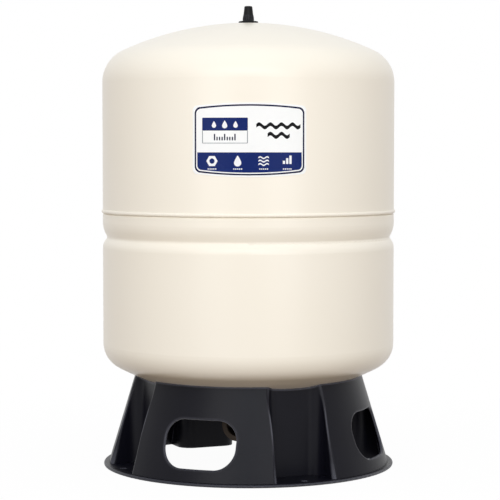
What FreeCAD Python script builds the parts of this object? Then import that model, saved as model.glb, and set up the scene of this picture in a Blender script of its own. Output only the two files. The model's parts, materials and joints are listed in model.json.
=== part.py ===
import FreeCAD, Part
import math
import os
import Sketcher
from types import SimpleNamespace

# Well pressure tank, upright, in millimetres.
# +Z is up and the origin is the middle of the stand's foot on the floor.
# The front, where the label is, faces -Y. Angles are in degrees from the front towards +X.

# Driving sizes
driving = {
    # Steel shells
    "tank_radius": 195.0,
    "shell_wall": 1.6,
    "barrel_bottom": 164.2,
    "barrel_top": 512.2,
    "lower_crown": 385.0,
    "lower_knuckle": 35.0,
    "upper_crown": 400.0,
    "upper_knuckle": 46.0,
    # Lap joint of the shells, with its weld bead above the groove
    "weld_above": 34.5,
    "weld_tall": 4.2,
    "weld_proud": 1.3,
    "lap_length": 14.0,
    "joggle_length": 2.0,
    # Groove rolled into the wall over the clench ring
    "groove_waist": 306.2,
    "groove_depth": 5.5,
    "groove_rise": 19.8,
    "groove_shoulder": 16.5,
    "groove_waist_round": 4.0,
    "groove_top_round": 34.0,
    # Water side: liner, diaphragm and clench ring, whose rims are above and below the groove
    "liner_wall": 2.5,
    "diaphragm_wall": 3.0,
    "clench_wall": 2.0,
    "layer_fit": 0.15,
    "liner_above": 29.0,
    "clench_below": 18.0,
    "clench_above": 31.0,
    # Water port in the bottom of the lower shell
    "port_flat": 30.0,
    "port_hole": 17.0,
    "port_thread": 16.6,
    "port_bore": 12.5,
    "port_collar": 25.0,
    "port_collar_tall": 4.0,
    "port_gasket": 2.0,
    "port_seal_tall": 2.0,
    "nut_across": 41.0,
    "nut_tall": 7.0,
    "nut_flange": 27.0,
    "nut_flange_tall": 3.0,
    "thread_fit": 0.15,
    "guard_radius": 44.0,
    "guard_wall": 2.0,
    "guard_rise": 22.0,
    "guard_hole": 3.0,
    "guard_hole_ring": 29.0,
    "guard_holes": 8.0,
    "hump_flat": 22.0,
    "hump_landing": 66.0,
    # Stainless elbow
    "elbow_drop": 35.658,
    "elbow_bend": 22.0,
    "elbow_body": 19.0,
    "elbow_band": 21.5,
    "elbow_band_long": 19.0,
    "elbow_reach": 41.0,
    "elbow_thread": 15.15,
    "elbow_thread_long": 18.0,
    "elbow_angle": -21.5,
    # Air valve in the top of the upper shell
    "valve_flat": 15.0,
    "valve_hole": 4.4,
    "boss_radius": 11.0,
    "boss_tall": 10.0,
    "stem_root": 4.2,
    "stem_root_long": 15.0,
    "stem_thread": 3.85,
    "stem_top": 18.0,
    "stem_hex_across": 10.0,
    "stem_hex_tall": 4.0,
    "stem_bore": 2.6,
    "stem_throat": 1.5,
    "stem_gasket_tall": 1.5,
    "stem_gasket_radius": 5.8,
    # Valve core
    "core_fit": 0.12,
    "core_wall": 0.45,
    "core_long": 7.5,
    "core_drop": 1.5,
    "core_floor": 1.2,
    "core_space": 3.6,
    "pin_radius": 0.5,
    "pin_fit": 0.3,
    "pin_collar": 1.55,
    "pin_collar_tall": 0.6,
    "pin_head": 1.2,
    "pin_head_tall": 0.4,
    "pin_top_drop": 0.3,
    "pin_seat": 0.05,
    "core_seal_radius": 1.7,
    "core_seal_tall": 1.2,
    "spring_wire": 0.3,
    "spring_mean": 1.25,
    "spring_turns": 6.0,
    # Plastic valve cap
    "cap_tall": 22.8,
    "cap_brim": 13.1,
    "cap_brim_tall": 2.7,
    "cap_foot": 7.4,
    "cap_crown": 5.4,
    "cap_wall": 1.3,
    "cap_thread_fit": 0.1,
    "cap_skirt_tall": 7.6,
    "cap_round": 1.5,
    "cap_rest_gap": 0.3,
    "cap_seal_tall": 1.2,
    "cap_seal_bore": 2.7,
    "cap_seal_fit": 0.15,
    # Moulded stand: its foot stands in under the vessel, and the rest is measured inwards from the foot
    "foot_inset": 5.9,
    "rim_inset": 36.75,
    "rim_height": 121.5,
    "stand_wall": 3.0,
    "flange_ledge": 5.6,
    "flange_tall": 4.0,
    "flange_round": 1.8,
    "channel_angle": 23.5,
    "channel_half": 38.0,
    "channel_depth": 11.35,
    "channel_round": 16.0,
    "lobe_round_top": 8.0,
    "lobe_round_foot": 1.6,
    "lobe_land": 1.2,
    "window_wide": 96.5,
    "window_tall": 60.4,
    "window_middle": 49.4,
    "window_corner": 26.0,
    "window_edge": 1.9,
    "floor_hole": 3.5,
    "floor_hole_inset": 10.1,
    "seat_gap": 0.3,
    # How far the cutting shapes reach past what they cut
    "tool_reach": 10.0,
    # Fixing of the stand under the lower shell
    "fixing_inset": 19.0,
    "tab_drop": 9.0,
    "tab_tall": 4.0,
    "tab_half": 18.0,
    "tab_nose": 12.0,
    "gusset_wall": 3.0,
    "gusset_tall": 22.0,
    "stud_collar": 9.0,
    "stud_radius": 4.0,
    "stud_fit": 0.5,
    "stud_long": 20.0,
    "washer_radius": 8.0,
    "washer_tall": 1.6,
    "stand_nut_across": 13.0,
    "stand_nut_tall": 6.5,
    "fixing_gap": 0.1,
    # Printed label
    "label_wide": 141.0,
    "label_tall": 92.0,
    "label_bow": 3.4,
    "label_corner": 6.0,
    "label_middle": 434.6,
    "label_sheet": 0.3,
    "label_glue": 0.05,
    "label_angle": 0.5,
}

# The four channels of the stand, and the place word of what is fixed behind each
placeWords = ["front_right", "back_right", "back_left", "front_left"]
quarterTurn = 360.0 / len(placeWords)

doc = FreeCAD.newDocument("well_pressure_tank")
sheet = doc.addObject("Spreadsheet::Sheet", "sizes")
sheetRows = []


class Size:
    # A number with the formula that gives it in the sheet
    def __init__(self, value, formula):
        self.value = float(value)
        self.formula = formula

    def joined(self, other, sign, value):
        return Size(value, f"({self.formula} {sign} {asSize(other).formula})")

    def __add__(self, other):
        return self.joined(other, "+", self.value + asSize(other).value)

    def __sub__(self, other):
        return self.joined(other, "-", self.value - asSize(other).value)

    def __mul__(self, other):
        return self.joined(other, "*", self.value * asSize(other).value)

    def __truediv__(self, other):
        return self.joined(other, "/", self.value / asSize(other).value)

    def __radd__(self, other):
        return asSize(other) + self

    def __rsub__(self, other):
        return asSize(other) - self

    def __rmul__(self, other):
        return asSize(other) * self

    def __rtruediv__(self, other):
        return asSize(other) / self

    def __neg__(self):
        return Size(-self.value, f"(0 - {self.formula})")


def asSize(entry):
    if isinstance(entry, Size):
        return entry
    return Size(entry, f"{float(entry):.6f}")


def root(size):
    return Size(math.sqrt(size.value), f"sqrt({size.formula})")


def sine(size):
    return Size(math.sin(math.radians(size.value)), f"sin({size.formula})")


def cosine(size):
    return Size(math.cos(math.radians(size.value)), f"cos({size.formula})")


def keepCell(name, content):
    # One row of the sheet: the name, then the cell that carries it as its alias
    sheetRows.append(name)
    row = len(sheetRows)
    sheet.set(f"A{row}", name)
    sheet.set(f"B{row}", content)
    sheet.setAlias(f"B{row}", name)


def derived(name, size):
    # A size worked out from others gets a cell of its own, with its formula
    keepCell(name, "=" + size.formula.replace("sizes.", ""))
    return Size(size.value, f"sizes.{name}")


for sizeName, sizeValue in driving.items():
    keepCell(sizeName, str(sizeValue))
size = SimpleNamespace(**{name: Size(value, f"sizes.{name}") for name, value in driving.items()})
zero = asSize(0)


# Sketches and features

def bind(target, path, amount):
    target.setExpression(path, asSize(amount).formula)


def newBody(name):
    body = doc.addObject("PartDesign::Body", name)
    body.Label = name
    return body


def newSketch(body, name, role, angle=None, lift=None):
    # A sketch on one of the body's own planes, turned about its normal or lifted along it
    sketch = body.newObject("Sketcher::SketchObject", name)
    plane = [feature for feature in body.Origin.OriginFeatures if feature.Role == role][0]
    sketch.AttachmentSupport = [(plane, "")]
    sketch.MapMode = "FlatFace"
    if angle is not None:
        sketch.AttachmentOffset = FreeCAD.Placement(
            FreeCAD.Vector(), FreeCAD.Rotation(FreeCAD.Vector(0, 0, 1), angle.value))
        bind(sketch, "AttachmentOffset.Rotation.Angle", angle)
    if lift is not None:
        bind(sketch, "AttachmentOffset.Base.z", lift)
    return sketch


def arcBetween(start, end, radius, turn):
    # The short arc from start to end: turn is 1 anticlockwise and -1 clockwise
    chord = end - start
    half = chord.Length / 2
    across = FreeCAD.Vector(-chord.y, chord.x, 0).normalize()
    reach = math.sqrt(max(radius * radius - half * half, 0))
    centre = start + chord * 0.5 + across * (reach * turn)
    first, last = (start, end) if turn > 0 else (end, start)
    angles = [math.atan2(point.y - centre.y, point.x - centre.x) for point in (first, last)]
    if angles[1] < angles[0]:
        angles[1] += 2 * math.pi
    circle = Part.Circle(centre, FreeCAD.Vector(0, 0, 1), radius)
    return Part.ArcOfCircle(circle, angles[0], angles[1])


def placePoint(sketch, edge, end, across, up):
    # The point's two coordinates, each bound to its formula
    for kind, axis, amount in (("DistanceX", -2, across), ("DistanceY", -1, up)):
        if amount is zero:
            sketch.addConstraint(Sketcher.Constraint("PointOnObject", edge, end, axis))
            continue
        index = sketch.addConstraint(Sketcher.Constraint(kind, -1, 1, edge, end, amount.value))
        bind(sketch, f"Constraints[{index}]", amount)


def draw(sketch, corners):
    # A closed outline. A corner is (across, up), and (across, up, radius, turn) where an arc leaves it.
    count = len(corners)
    sizes = [(asSizeOrZero(corner[0]), asSizeOrZero(corner[1])) for corner in corners]
    points = [FreeCAD.Vector(across.value, up.value, 0) for across, up in sizes]
    ends = []
    for number, corner in enumerate(corners):
        start = points[number]
        end = points[(number + 1) % count]
        if len(corner) == 2:
            edge = sketch.addGeometry(Part.LineSegment(start, end))
            ends.append((edge, 1, 2))
            continue
        radius, turn = corner[2:]
        edge = sketch.addGeometry(arcBetween(start, end, radius.value, turn))
        ends.append((edge, 1, 2) if turn > 0 else (edge, 2, 1))
        index = sketch.addConstraint(Sketcher.Constraint("Radius", edge, radius.value))
        bind(sketch, f"Constraints[{index}]", radius)
    for number in range(count):
        edge, start, end = ends[number]
        nextEdge, nextStart, nextEnd = ends[(number + 1) % count]
        sketch.addConstraint(Sketcher.Constraint("Coincident", edge, end, nextEdge, nextStart))
        placePoint(sketch, edge, start, *sizes[number])


def asSizeOrZero(entry):
    if isinstance(entry, Size):
        return entry
    return zero if entry == 0 else asSize(entry)


def turned(name, corners):
    # A piece turned about the tank's own axis from its half section, as (radius, height)
    body = newBody(name)
    sketch = newSketch(body, name + "_section", "XZ_Plane")
    draw(sketch, corners)
    feature = body.newObject("PartDesign::Revolution", name + "_turn")
    feature.Profile = sketch
    feature.ReferenceAxis = (sketch, ["V_Axis"])
    feature.Angle = 360.0
    sketch.Visibility = False
    return body


def ring(name, inner, outer, bottom, top):
    return turned(name, [(inner, bottom), (outer, bottom), (outer, top), (inner, top)])


def padded(name, corners, role, length, lift=None, angle=None):
    # A closed outline raised by a length from its plane
    body = newBody(name)
    sketch = newSketch(body, name + "_outline", role, angle, lift)
    draw(sketch, corners)
    feature = body.newObject("PartDesign::Pad", name + "_pad")
    feature.Profile = sketch
    bind(feature, "Length", length)
    return body


def primitive(kind, name, **sizes):
    item = doc.addObject(kind, name)
    for path, amount in sizes.items():
        bind(item, path, amount)
    return item


def lifted(item, height):
    bind(item, "Placement.Base.z", height)
    return item


def spun(item, angle):
    # Turns an item about the tank's axis
    item.Placement.Rotation = FreeCAD.Rotation(FreeCAD.Vector(0, 0, 1), angle.value)
    bind(item, "Placement.Rotation.Angle", angle)
    return item


def cut(name, base, tool):
    item = doc.addObject("Part::Cut", name)
    item.Base = base
    item.Tool = tool
    return item


def common(name, base, tool):
    item = doc.addObject("Part::Common", name)
    item.Base = base
    item.Tool = tool
    return item


def joined(name, shapes):
    item = doc.addObject("Part::MultiFuse", name)
    item.Shapes = shapes
    item.Refine = True
    return item


def rounded(name, base, edges):
    # Edges as (number, radius at its start, radius at its end)
    item = doc.addObject("Part::Fillet", name)
    item.Base = base
    item.Edges = edges
    return item


def radiusOf(point):
    return math.hypot(point.x, point.y)


# Steel shells, and the layers that follow the lower one inwards

class Dome:
    # A dished end: a large crown arc run into a small knuckle arc, on the tank's axis
    def __init__(self, name, crown, knuckle, tangent, up):
        self.crown = crown
        self.knuckle = knuckle
        self.tangent = tangent
        self.up = up
        self.sine = derived(name + "_sine", (size.tank_radius - knuckle) / (crown - knuckle))
        self.cosine = derived(name + "_cosine", root(1 - self.sine * self.sine))
        self.middle = derived(name + "_middle", tangent - up * ((crown - knuckle) * self.cosine))

    def flatEdge(self, level, inset):
        # Radius at which the crown, moved inwards, meets a level
        rise = level - self.middle
        return root((self.crown - inset) * (self.crown - inset) - rise * rise)

    def levelAt(self, radius, inset):
        span = (self.crown - inset) * (self.crown - inset) - radius * radius
        return self.middle + self.up * root(span)

    def knuckleStart(self, inset):
        small = self.knuckle - inset
        across = size.tank_radius - self.knuckle + small * self.sine
        return across, self.tangent + self.up * (small * self.cosine)


lowerDome = Dome("lower_dome", size.lower_crown, size.lower_knuckle, size.barrel_bottom, -1)
upperDome = Dome("upper_dome", size.upper_crown, size.upper_knuckle, size.barrel_top, 1)

# The groove's shoulder is two arcs, and its top a straight taper between two arcs
shoulderRound = size.groove_shoulder + size.groove_waist_round
shoulderCosine = derived("shoulder_cosine", 1 - size.groove_depth / shoulderRound)
shoulderSine = derived("shoulder_sine", root(1 - shoulderCosine * shoulderCosine))
shoulderFoot = derived("shoulder_foot", size.groove_waist - shoulderRound * shoulderSine)
taperRound = size.groove_top_round + size.groove_waist_round
taperRest = 2 * taperRound - size.groove_depth
taperSpan = root(size.groove_rise * size.groove_rise - size.groove_depth * taperRest)
taperHalf = derived("taper_half", (size.groove_rise - taperSpan) / taperRest)
taperCosine = derived("taper_cosine", (1 - taperHalf * taperHalf) / (1 + taperHalf * taperHalf))
taperSine = derived("taper_sine", 2 * taperHalf / (1 + taperHalf * taperHalf))
grooveTop = derived("groove_top", size.groove_waist + size.groove_rise)
weldHeight = derived("weld_height", size.groove_waist + size.weld_above)
linerTop = derived("liner_top", size.groove_waist + size.liner_above)
clenchTop = derived("clench_top", size.groove_waist + size.clench_above)
clenchBottom = derived("clench_bottom", size.groove_waist - size.clench_below)
waistMiddle = derived("waist_middle", size.tank_radius - size.groove_depth + size.groove_waist_round)
portLevel = derived("port_level", lowerDome.middle - root(
    size.lower_crown * size.lower_crown - size.port_flat * size.port_flat))
valveLevel = derived("valve_level", upperDome.middle + root(
    size.upper_crown * size.upper_crown - size.valve_flat * size.valve_flat))


def groovePath(inset):
    # The wall upwards through the groove, at an inset from the tank's outside
    shoulder = size.groove_shoulder - inset
    waist = size.groove_waist_round + inset
    topRound = size.groove_top_round - inset
    wall = size.tank_radius - inset
    return [
        (wall, shoulderFoot, shoulder, 1),
        (size.tank_radius - size.groove_shoulder + shoulder * shoulderCosine,
         shoulderFoot + shoulder * shoulderSine, waist, -1),
        (waistMiddle - waist * taperCosine, size.groove_waist + waist * taperSine),
        (size.tank_radius - size.groove_top_round + topRound * taperCosine,
         grooveTop - topRound * taperSine, topRound, 1),
        (wall, grooveTop),
    ]


def lowerPath(inset, start):
    # From the edge of a hole in the bottom, out over the dome and up through the groove
    knuckle = lowerDome.knuckleStart(inset)
    level = portLevel + inset
    return [
        (start, level),
        (lowerDome.flatEdge(level, inset), level, size.lower_crown - inset, 1),
        (*knuckle, size.lower_knuckle - inset, 1),
        (size.tank_radius - inset, size.barrel_bottom),
    ] + groovePath(inset)


def reversedPath(path):
    # The same outline walked the other way, with each arc kept on its own edge
    points = [corner[:2] for corner in path]
    arcs = [corner[2:] for corner in path]
    result = []
    for number in range(len(path) - 1, -1, -1):
        arc = arcs[number - 1] if number > 0 else ()
        if arc:
            arc = (arc[0], -arc[1])
        result.append(points[number] + arc)
    return result


linerOuter = derived("liner_outer", size.shell_wall + size.layer_fit)
linerInner = derived("liner_inner", linerOuter + size.liner_wall)
diaphragmOuter = derived("diaphragm_outer", linerInner + size.layer_fit)
diaphragmInner = derived("diaphragm_inner", diaphragmOuter + size.diaphragm_wall)
clenchOuter = derived("clench_outer", diaphragmInner + size.layer_fit)
clenchInner = derived("clench_inner", clenchOuter + size.clench_wall)
weldFoot = derived("weld_foot", weldHeight - size.weld_tall / 2)


def lowerShell():
    # Deep-drawn lower half. Its rim is joggled inwards and slides up inside the upper half.
    lapInset = size.shell_wall + size.layer_fit
    joggleTop = weldFoot - size.layer_fit
    joggleFoot = joggleTop - size.joggle_length
    lapTop = weldHeight + size.lap_length
    outside = lowerPath(zero, size.port_hole) + [
        (size.tank_radius, joggleFoot),
        (size.tank_radius - lapInset, joggleTop),
        (size.tank_radius - lapInset, lapTop),
    ]
    inside = lowerPath(size.shell_wall, size.port_hole) + [
        (size.tank_radius - size.shell_wall, joggleFoot),
        (size.tank_radius - size.shell_wall - lapInset, joggleTop),
        (size.tank_radius - size.shell_wall - lapInset, lapTop),
    ]
    return turned("lower_shell", outside + reversedPath(inside))


def upperShell():
    # Deep-drawn upper half, with the weld bead of the lap joint along its rim
    beadHalf = size.weld_tall / 2
    beadRound = (beadHalf * beadHalf + size.weld_proud * size.weld_proud) / (2 * size.weld_proud)
    outside = [
        (size.tank_radius, weldFoot, beadRound, 1),
        (size.tank_radius, weldFoot + size.weld_tall),
        (size.tank_radius, size.barrel_top, size.upper_knuckle, 1),
        (*upperDome.knuckleStart(zero), size.upper_crown, 1),
        (size.valve_flat, valveLevel),
        (size.valve_hole, valveLevel),
    ]
    level = valveLevel - size.shell_wall
    small = size.upper_knuckle - size.shell_wall
    inside = [
        (size.valve_hole, level),
        (upperDome.flatEdge(level, size.shell_wall), level, size.upper_crown - size.shell_wall, -1),
        (*upperDome.knuckleStart(size.shell_wall), small, -1),
        (size.tank_radius - size.shell_wall, size.barrel_top),
        (size.tank_radius - size.shell_wall, weldFoot),
    ]
    return turned("upper_shell", outside + inside)


def waterLiner():
    # Polypropylene liner that keeps the water off the steel
    top = linerTop
    outside = lowerPath(linerOuter, size.port_hole) + [(size.tank_radius - linerOuter, top)]
    inside = lowerPath(linerInner, size.port_hole) + [(size.tank_radius - linerInner, top)]
    return turned("water_liner", outside + reversedPath(inside))


guardFoot = derived("guard_foot", lowerDome.levelAt(size.guard_radius, linerInner) + size.layer_fit)
guardTop = derived("guard_top", guardFoot + size.guard_rise)
guardRound = derived("guard_round", (size.guard_radius * size.guard_radius
                                     + size.guard_rise * size.guard_rise) / (2 * size.guard_rise))


def diaphragm():
    # Rubber diaphragm with no water in: its air charge lays it on the liner and over the port guard
    def humped(inset, lift):
        level = guardTop + size.layer_fit + lift
        return [
            (zero, level),
            (size.hump_flat, level),
            (size.hump_landing, lowerDome.levelAt(size.hump_landing, inset), size.lower_crown - inset, 1),
        ] + lowerPath(inset, zero)[2:] + [(size.tank_radius - inset, linerTop)]

    outside = humped(diaphragmOuter, zero)
    inside = humped(diaphragmInner, size.diaphragm_wall)
    return turned("diaphragm", outside + reversedPath(inside))


def clenchRing():
    # Steel band that the rolled groove locks in place, with the rims of liner and diaphragm behind it
    outside = [(size.tank_radius - clenchOuter, clenchBottom)] + groovePath(clenchOuter)
    inside = [(size.tank_radius - clenchInner, clenchBottom)] + groovePath(clenchInner)
    outside.append((size.tank_radius - clenchOuter, clenchTop))
    inside.append((size.tank_radius - clenchInner, clenchTop))
    return turned("clench_ring", outside + reversedPath(inside))


# Water port

def hexPiece(name, across, tall, bottom):
    # A hexagonal bar by its size across the flats
    bar = primitive("Part::Prism", name, Circumradius=across / root(asSize(3)), Height=tall)
    bar.Polygon = 6
    return lifted(bar, bottom)


def barPiece(name, radius, tall, bottom):
    bar = primitive("Part::Cylinder", name, Radius=radius, Height=tall)
    return lifted(bar, bottom)


linerFloor = derived("liner_floor", portLevel + linerInner)
sealFoot = derived("seal_foot", linerFloor + size.layer_fit)
nutFoot = derived("nut_foot", sealFoot + size.port_seal_tall + size.layer_fit)
nutTop = derived("nut_top", nutFoot + size.nut_flange_tall + size.nut_tall)
collarTop = derived("collar_top", portLevel - size.port_gasket - 2 * size.layer_fit)
collarFoot = derived("collar_foot", collarTop - size.port_collar_tall)
elbowHeight = derived("elbow_height", portLevel - size.elbow_drop)


def portGuard():
    # Perforated cap that stops the diaphragm from being pressed into the port
    small = guardRound - size.guard_wall
    rim = root(small * small - (guardRound - size.guard_rise) * (guardRound - size.guard_rise))
    body = turned("port_guard", [
        (zero, guardTop - size.guard_wall),
        (zero, guardTop, guardRound, -1),
        (size.guard_radius, guardFoot),
        (rim, guardFoot, small, 1),
    ])
    sketch = newSketch(body, "guard_hole", "XY_Plane")
    circle = Part.Circle(FreeCAD.Vector(driving["guard_hole_ring"], 0, 0),
                         FreeCAD.Vector(0, 0, 1), driving["guard_hole"])
    edge = sketch.addGeometry(circle)
    index = sketch.addConstraint(Sketcher.Constraint("Radius", edge, driving["guard_hole"]))
    bind(sketch, f"Constraints[{index}]", size.guard_hole)
    sketch.addConstraint(Sketcher.Constraint("PointOnObject", edge, 3, -1))
    index = sketch.addConstraint(Sketcher.Constraint("DistanceX", -1, 1, edge, 3, driving["guard_hole_ring"]))
    bind(sketch, f"Constraints[{index}]", size.guard_hole_ring)
    pocket = body.newObject("PartDesign::Pocket", "guard_hole_cut")
    pocket.Profile = sketch
    pocket.Type = 1
    pocket.Reversed = True
    pattern = body.newObject("PartDesign::PolarPattern", "guard_holes_ring")
    pattern.Originals = [pocket]
    pattern.Axis = (sketch, ["N_Axis"])
    pattern.Angle = 360.0
    bind(pattern, "Occurrences", size.guard_holes)
    body.Tip = pattern
    return body


def portSeal():
    # Flat rubber ring between the liner's floor and the lock nut
    outer = size.nut_flange
    return ring("port_seal", size.port_hole, outer, sealFoot, sealFoot + size.port_seal_tall)


def portLockNut():
    # Flanged nut inside, which pulls elbow, shell and liner together
    flange = barPiece("nut_plate", size.nut_flange, size.nut_flange_tall, nutFoot)
    hexagon = hexPiece("nut_hexagon", size.nut_across, size.nut_tall, nutFoot + size.nut_flange_tall)
    solid = joined("nut_solid", [flange, hexagon])
    bore = barPiece("nut_bore", size.port_thread + size.thread_fit, nutTop - nutFoot, nutFoot)
    return cut("port_lock_nut", solid, bore)


def outletGasket():
    # Rubber ring between the elbow's collar and the shell's flat
    foot = collarTop + size.layer_fit
    return ring("outlet_gasket", size.port_hole, size.port_collar, foot, foot + size.port_gasket)


def outletElbow():
    # Cast stainless elbow: a threaded spigot up through the port and a socket towards a window
    spigot = barPiece("elbow_spigot", size.port_thread, nutTop - collarTop, collarTop)
    collar = barPiece("elbow_collar", size.port_collar, size.port_collar_tall, collarFoot)
    bendTop = elbowHeight + size.elbow_bend
    neck = barPiece("elbow_neck", size.elbow_body, collarFoot - bendTop, bendTop)

    def bend(name, radius):
        # A quarter of a ring, from straight up to straight forward
        item = primitive("Part::Torus", name, Radius1=size.elbow_bend, Radius2=radius)
        item.Angle3 = 90.0
        item.Placement.Rotation = FreeCAD.Rotation(
            FreeCAD.Vector(0, 1, 0), FreeCAD.Vector(0, 0, -1), FreeCAD.Vector(-1, 0, 0), "XYZ")
        bind(item, "Placement.Base.y", -size.elbow_bend)
        bind(item, "Placement.Base.z", elbowHeight + size.elbow_bend)
        return item

    def forward(name, radius, start, length):
        # A round bar along the outlet, from a distance in front of the axis
        item = primitive("Part::Cylinder", name, Radius=radius, Height=length)
        item.Placement.Rotation = FreeCAD.Rotation(FreeCAD.Vector(1, 0, 0), 90)
        bind(item, "Placement.Base.y", -start)
        bind(item, "Placement.Base.z", elbowHeight)
        return item

    bandStart = size.elbow_reach - size.elbow_band_long
    band = forward("elbow_band", size.elbow_band, bandStart, size.elbow_band_long)
    body = joined("elbow_body", [spigot, collar, neck, bend("elbow_curve", size.elbow_body), band])
    bore = barPiece("elbow_bore", size.port_bore, nutTop - bendTop, bendTop)
    throat = bend("elbow_throat", size.port_bore)
    socketStart = size.elbow_reach - size.elbow_thread_long
    passage = forward("elbow_passage", size.port_bore, size.elbow_bend, size.elbow_band_long)
    socket = forward("elbow_socket", size.elbow_thread, socketStart, size.elbow_thread_long)
    hollow = joined("elbow_hollow", [bore, throat, passage, socket])
    return spun(cut("outlet_elbow", body, hollow), size.elbow_angle)


# Air valve

bossTop = derived("boss_top", valveLevel - size.shell_wall - size.layer_fit)
gasketFoot = derived("gasket_foot", valveLevel + size.layer_fit)
hexFoot = derived("hex_foot", gasketFoot + size.stem_gasket_tall + size.layer_fit)
stemTop = derived("stem_tip", valveLevel + size.stem_top)
coreTop = derived("core_top", stemTop - size.core_drop)
coreFoot = derived("core_foot", coreTop - size.core_long)
collarUnder = derived("collar_under", coreTop - size.pin_top_drop - size.pin_collar_tall)
coreRadius = size.stem_bore - size.core_fit


def valveBoss():
    # Threaded steel boss welded under the top of the upper shell
    bore = size.stem_root + size.thread_fit
    return ring("valve_boss", bore, size.boss_radius, bossTop - size.boss_tall, bossTop)


def valveStem():
    # Brass stem: root screwed into the boss, spanner hexagon, and the cap's thread at its top
    root_foot = hexFoot - size.stem_root_long
    bar = turned("stem_bar", [
        (zero, root_foot),
        (size.stem_root, root_foot),
        (size.stem_root, hexFoot),
        (size.stem_thread, hexFoot),
        (size.stem_thread, stemTop),
        (zero, stemTop),
    ])
    hexagon = hexPiece("stem_hexagon", size.stem_hex_across, size.stem_hex_tall, hexFoot)
    boreFoot = coreFoot - size.core_space
    bore = barPiece("stem_core_bore", size.stem_bore, stemTop - boreFoot, boreFoot)
    throat = barPiece("stem_throat_bore", size.stem_throat, boreFoot - root_foot, root_foot)
    return cut("valve_stem", joined("stem_solid", [bar, hexagon]), joined("stem_hollow", [bore, throat]))


def valveStemGasket():
    inner = size.stem_root + size.thread_fit
    return ring("valve_stem_gasket", inner, size.stem_gasket_radius, gasketFoot,
                gasketFoot + size.stem_gasket_tall)


def valveCoreBarrel():
    # Brass sleeve of the valve core, with a floor that guides the pin
    hole = size.pin_radius + size.pin_fit
    inner = coreRadius - size.core_wall
    return turned("valve_core_barrel", [
        (hole, coreFoot),
        (coreRadius, coreFoot),
        (coreRadius, coreTop),
        (inner, coreTop),
        (inner, coreFoot + size.core_floor),
        (hole, coreFoot + size.core_floor),
    ])


def valveCorePin():
    # Pin that lets air in or out when it is pressed. Its foot carries the core's seal.
    sealUnder = coreFoot - size.pin_seat - size.core_seal_tall
    headTop = sealUnder - size.pin_seat
    headFoot = headTop - size.pin_head_tall
    pinTop = stemTop - size.pin_top_drop
    return turned("valve_core_pin", [
        (zero, headFoot),
        (size.pin_head, headFoot),
        (size.pin_head, headTop),
        (size.pin_radius, headTop),
        (size.pin_radius, collarUnder),
        (size.pin_collar, collarUnder),
        (size.pin_collar, collarUnder + size.pin_collar_tall),
        (size.pin_radius, collarUnder + size.pin_collar_tall),
        (size.pin_radius, pinTop),
        (zero, pinTop),
    ])


def valveCoreSeal():
    top = coreFoot - size.pin_seat
    inner = size.pin_radius + size.pin_seat
    return ring("valve_core_seal", inner, size.core_seal_radius, top - size.core_seal_tall, top)


def valveCoreSpring():
    # Coil spring between the barrel's floor and the pin's collar
    foot = coreFoot + size.core_floor + size.pin_seat + size.spring_wire / 2
    rise = collarUnder - size.pin_seat - size.spring_wire / 2 - foot
    helix = primitive("Part::Helix", "spring_path", Pitch=rise / size.spring_turns, Height=rise,
                      Radius=size.spring_mean)
    lifted(helix, foot)
    wire = primitive("Part::Circle", "spring_section", Radius=size.spring_wire / 2)
    wire.Placement.Rotation = FreeCAD.Rotation(FreeCAD.Vector(1, 0, 0), 90)
    bind(wire, "Placement.Base.x", size.spring_mean)
    lifted(wire, foot)
    spring = doc.addObject("Part::Sweep", "valve_core_spring")
    spring.Sections = [wire]
    spring.Spine = (helix, [])
    spring.Solid = True
    spring.Frenet = True
    return spring


capFoot = derived("cap_foot_level", valveLevel + size.cap_rest_gap)
capBore = derived("cap_bore", size.stem_thread + size.cap_thread_fit)
capSealFoot = derived("cap_seal_foot", stemTop + size.pin_seat)
capRoof = derived("cap_roof", capSealFoot + size.cap_seal_tall + size.pin_seat)


def valveCap():
    # Plastic screw cap: a tapered crown on a round brim, hollow over the stem and its hexagon
    capTop = capFoot + size.cap_tall
    brimTop = capFoot + size.cap_brim_tall
    brimRound = size.cap_brim_tall / 2
    skirt = size.cap_foot - size.cap_wall
    skirtTop = capFoot + size.cap_skirt_tall
    return turned("valve_cap", [
        (skirt, capFoot),
        (size.cap_brim - brimRound, capFoot, brimRound, 1),
        (size.cap_brim, capFoot + brimRound, brimRound, 1),
        (size.cap_brim - brimRound, brimTop),
        (size.cap_foot + size.cap_round, brimTop, size.cap_round, -1),
        (size.cap_foot, brimTop + size.cap_round),
        (size.cap_crown, capTop - size.cap_round, size.cap_round, 1),
        (size.cap_crown - size.cap_round, capTop),
        (zero, capTop),
        (zero, capRoof),
        (capBore, capRoof),
        (capBore, skirtTop),
        (skirt, skirtTop),
    ])


def valveCapSeal():
    # Rubber ring in the cap's roof, pressed on the stem's end
    return ring("valve_cap_seal", size.cap_seal_bore, capBore - size.cap_seal_fit, capSealFoot,
                capSealFoot + size.cap_seal_tall)


# Moulded stand

footRadius = derived("foot_radius", size.tank_radius - size.foot_inset)
channelBack = derived("channel_back", footRadius - size.rim_inset - size.channel_depth)
floorHoleRing = derived("floor_hole_ring", footRadius - size.floor_hole_inset)
fixingRing = derived("fixing_ring", channelBack - size.fixing_inset)
coneSlope = derived("cone_slope", size.rim_inset / size.rim_height)
coneInset = derived("cone_inset", size.stand_wall * root(1 + coneSlope * coneSlope))
formTop = derived("form_top", size.rim_height + 2 * size.stand_wall)
toolStart = derived("tool_start", -size.flange_tall)
flangeRadius = derived("flange_radius", footRadius + size.flange_ledge)
tabTop = derived("tab_top", lowerDome.levelAt(fixingRing, zero) - size.tab_drop)


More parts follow.
